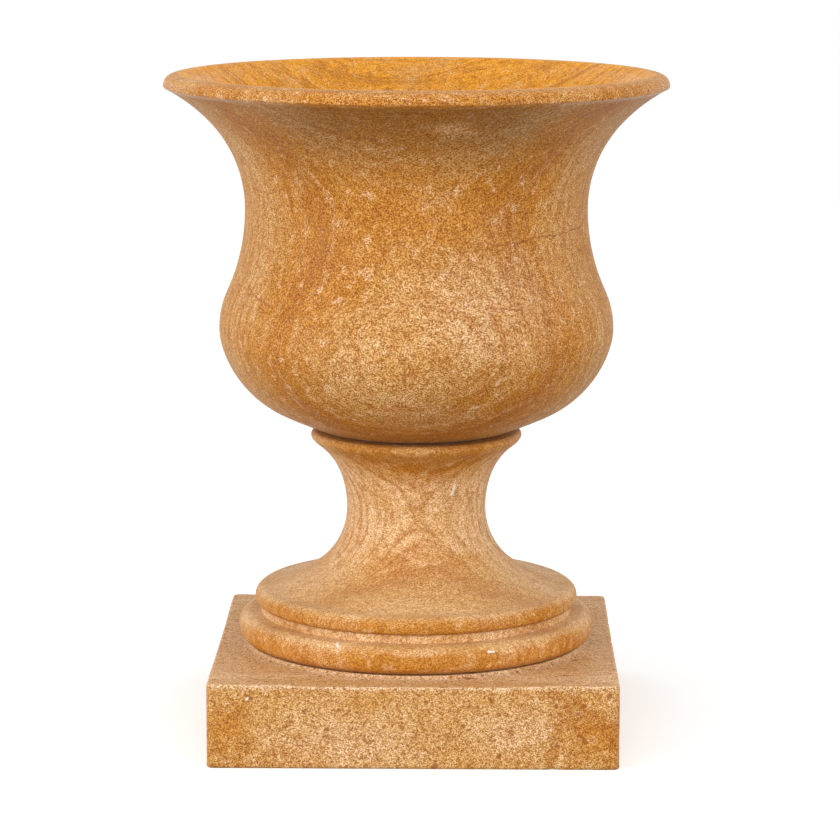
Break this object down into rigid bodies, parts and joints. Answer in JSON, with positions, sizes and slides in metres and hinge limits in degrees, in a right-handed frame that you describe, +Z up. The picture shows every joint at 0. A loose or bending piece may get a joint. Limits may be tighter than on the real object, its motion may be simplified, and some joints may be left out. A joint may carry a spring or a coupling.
{
  "type": "stone garden urn",
  "caption": "Turned stone urn with a flared wide bowl on a socle and square plinth; it holds plants, drains through its base, and the bowl lifts off.",
  "frame": {"origin": "middle of the plinth's underside, on the axis of the turned stones", "axes": "+Z up along the turned axis, -Y out of the front face, +X to the right seen from the front"},
  "size_m": [0.5079, 0.508, 0.665],
  "materials": {
    "sandstone": "matte",
    "stainless_steel": "satin",
    "gasket_rubber": "matte",
    "bed_mortar": "matte",
    "anchor_resin": "matte"
  },
  "bodies": {
    "pedestal": {"plinth": "sandstone", "socle": "sandstone", "socle_mortar_bed": "bed_mortar", "socle_dowels": "stainless_steel", "plinth_dowel_resin": "anchor_resin", "socle_dowel_resin": "anchor_resin", "bowl_dowels": "stainless_steel", "bowl_dowel_resin": "anchor_resin", "bowl_seat_gasket": "gasket_rubber"},
    "bowl": {"bowl": "sandstone"}
  },
  "joints": [
    {"name": "bowl_lift", "type": "slide", "parent": "pedestal", "child": "bowl", "axis": [0, 0, 1], "range_m": [0, 0.06]}
  ]
}
